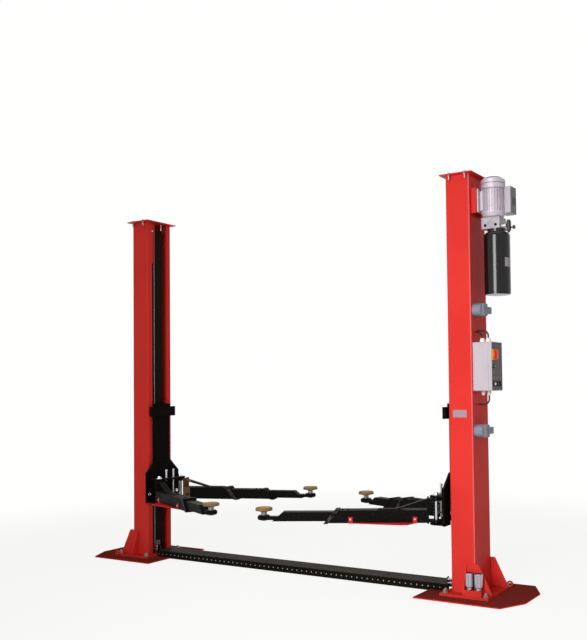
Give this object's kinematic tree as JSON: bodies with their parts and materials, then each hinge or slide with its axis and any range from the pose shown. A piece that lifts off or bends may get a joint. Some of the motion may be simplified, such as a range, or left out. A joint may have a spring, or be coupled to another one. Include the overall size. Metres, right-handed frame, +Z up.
{
  "type": "two post car lift",
  "caption": "Two post car lift with box columns, coupled carriages, telescopic swing arms with screw pads, and a pump unit.",
  "frame": {"origin": "on the floor, midway between the two columns and in their middle plane", "axes": "+X from the left to the power unit column, +Y away from the viewer along the vehicle, +Z up"},
  "size_m": [3.816, 1.249, 2.832],
  "materials": {
    "column_paint": "gloss",
    "floor_paint": "gloss",
    "black_paint": "satin",
    "curtain_fabric": "matte",
    "steel": "satin",
    "chrome": "polished",
    "motor_metal": "satin",
    "grey_plastic": "matte",
    "box_plastic": "matte",
    "cable_rubber": "matte",
    "switch_red": "gloss",
    "button_silver": "satin",
    "button_black": "gloss",
    "pad_rubber": "matte"
  },
  "bodies": {
    "frame": {"floor_plates": "floor_paint", "base_plates": "column_paint", "left_column": "column_paint", "right_column": "column_paint", "base_gussets": "column_paint", "cap_plates": "column_paint", "dust_curtains": "curtain_fabric", "rope_sheaves": "steel", "sync_rope": "steel", "floor_cover": "black_paint", "hose_fittings": "chrome", "height_adapters": "chrome", "fixing_bolts": "steel", "pump_bracket": "column_paint", "pump_motor": "motor_metal", "valve_block": "motor_metal", "oil_tank": "black_paint", "latch_covers": "grey_plastic", "control_box": "box_plastic", "power_cables": "cable_rubber"},
    "main_switch": {"main_switch": "switch_red"},
    "raise_button": {"raise_button": "button_silver"},
    "park_button": {"park_button": "button_black"},
    "lower_button": {"lower_button": "button_black"},
    "release_knob": {"release_knob": "button_black"},
    "left_carriage": {"left_carriage": "black_paint"},
    "right_carriage": {"right_carriage": "black_paint"},
    "left_near_lock": {"left_near_lock": "chrome"},
    "left_near_arm": {"left_near_arm": "black_paint"},
    "left_near_tip": {"left_near_tip": "black_paint"},
    "left_near_pad": {"left_near_pad": "pad_rubber"},
    "left_far_lock": {"left_far_lock": "chrome"},
    "left_far_arm": {"left_far_arm": "black_paint"},
    "left_far_middle": {"left_far_middle": "black_paint"},
    "left_far_tip": {"left_far_tip": "black_paint"},
    "left_far_pad": {"left_far_pad": "pad_rubber"},
    "right_near_lock": {"right_near_lock": "chrome"},
    "right_near_arm": {"right_near_arm": "black_paint"},
    "right_near_tip": {"right_near_tip": "black_paint"},
    "right_near_pad": {"right_near_pad": "pad_rubber"},
    "right_far_lock": {"right_far_lock": "chrome"},
    "right_far_arm": {"right_far_arm": "black_paint"},
    "right_far_middle": {"right_far_middle": "black_paint"},
    "right_far_tip": {"right_far_tip": "black_paint"},
    "right_far_pad": {"right_far_pad": "pad_rubber"}
  },
  "joints": [
    {"name": "left_lift", "type": "slide", "parent": "frame", "child": "left_carriage", "axis": [0, 0, 1], "range_m": [-0.395, 1.27]},
    {"name": "right_lift", "type": "slide", "parent": "frame", "child": "right_carriage", "axis": [0, 0, 1], "range_m": [-0.395, 1.27]},
    {"name": "left_near_lock_pull", "type": "slide", "parent": "left_carriage", "child": "left_near_lock", "axis": [0, 0, 1], "range_m": [0, 0.025], "stiffness_N_per_m": 400, "springref_m": -0.02},
    {"name": "left_near_swing", "type": "hinge", "parent": "left_carriage", "child": "left_near_arm", "pos_m": [-1.278, -0.122, 0.55], "axis": [0, 0, 1], "range_deg": [-63.5, 14.5]},
    {"name": "left_near_tip_slide", "type": "slide", "parent": "left_near_arm", "child": "left_near_tip", "axis": [0.8949, -0.4462, 0], "range_m": [-0.3, 0.06]},
    {"name": "left_near_pad_screw", "type": "slide", "parent": "left_near_tip", "child": "left_near_pad", "axis": [0, 0, 1], "range_m": [-0.016, 0.028]},
    {"name": "left_far_lock_pull", "type": "slide", "parent": "left_carriage", "child": "left_far_lock", "axis": [0, 0, 1], "range_m": [0, 0.025], "stiffness_N_per_m": 400, "springref_m": -0.02},
    {"name": "left_far_swing", "type": "hinge", "parent": "left_carriage", "child": "left_far_arm", "pos_m": [-1.278, 0.122, 0.55], "axis": [0, 0, 1], "range_deg": [-6, 72]},
    {"name": "left_far_middle_slide", "type": "slide", "parent": "left_far_arm", "child": "left_far_middle", "axis": [0.9511, 0.309, 0], "range_m": [-0.23, 0.04]},
    {"name": "left_far_tip_slide", "type": "slide", "parent": "left_far_middle", "child": "left_far_tip", "axis": [0.9511, 0.309, 0], "range_m": [-0.25, 0.03]},
    {"name": "left_far_pad_screw", "type": "slide", "parent": "left_far_tip", "child": "left_far_pad", "axis": [0, 0, 1], "range_m": [-0.016, 0.028]},
    {"name": "right_near_lock_pull", "type": "slide", "parent": "right_carriage", "child": "right_near_lock", "axis": [0, 0, 1], "range_m": [0, 0.025], "stiffness_N_per_m": 400, "springref_m": -0.02},
    {"name": "right_near_swing", "type": "hinge", "parent": "right_carriage", "child": "right_near_arm", "pos_m": [1.278, -0.122, 0.55], "axis": [0, 0, 1], "range_deg": [-14.5, 63.5]},
    {"name": "right_near_tip_slide", "type": "slide", "parent": "right_near_arm", "child": "right_near_tip", "axis": [-0.8949, -0.4462, 0], "range_m": [-0.36, 0.035]},
    {"name": "right_near_pad_screw", "type": "slide", "parent": "right_near_tip", "child": "right_near_pad", "axis": [0, 0, 1], "range_m": [-0.016, 0.028]},
    {"name": "right_far_lock_pull", "type": "slide", "parent": "right_carriage", "child": "right_far_lock", "axis": [0, 0, 1], "range_m": [0, 0.025], "stiffness_N_per_m": 400, "springref_m": -0.02},
    {"name": "right_far_swing", "type": "hinge", "parent": "right_carriage", "child": "right_far_arm", "pos_m": [1.278, 0.122, 0.55], "axis": [0, 0, 1], "range_deg": [-72, 6]},
    {"name": "right_far_middle_slide", "type": "slide", "parent": "right_far_arm", "child": "right_far_middle", "axis": [-0.9511, 0.309, 0], "range_m": [-0.05, 0.215]},
    {"name": "right_far_tip_slide", "type": "slide", "parent": "right_far_middle", "child": "right_far_tip", "axis": [-0.9511, 0.309, 0], "range_m": [-0.185, 0.1]},
    {"name": "right_far_pad_screw", "type": "slide", "parent": "right_far_tip", "child": "right_far_pad", "axis": [0, 0, 1], "range_m": [-0.016, 0.028]},
    {"name": "main_switch_turn", "type": "hinge", "parent": "frame", "child": "main_switch", "pos_m": [1.696, -0.072, 1.598], "axis": [1, 0, 0], "range_deg": [0, 90]},
    {"name": "raise_button_press", "type": "slide", "parent": "frame", "child": "raise_button", "axis": [-1, 0, 0], "range_m": [0, 0.004], "stiffness_N_per_m": 900, "springref_m": -0.002},
    {"name": "park_button_press", "type": "slide", "parent": "frame", "child": "park_button", "axis": [-1, 0, 0], "range_m": [0, 0.004], "stiffness_N_per_m": 900, "springref_m": -0.002},
    {"name": "lower_button_press", "type": "slide", "parent": "frame", "child": "lower_button", "axis": [-1, 0, 0], "range_m": [0, 0.004], "stiffness_N_per_m": 900, "springref_m": -0.002},
    {"name": "release_knob_press", "type": "slide", "parent": "frame", "child": "release_knob", "axis": [-1, 0, 0], "range_m": [0, 0.004], "stiffness_N_per_m": 900, "springref_m": -0.002}
  ],
  "couplings": [
    {"joint": "right_lift", "follows": "left_lift", "ratio": 1}
  ]
}
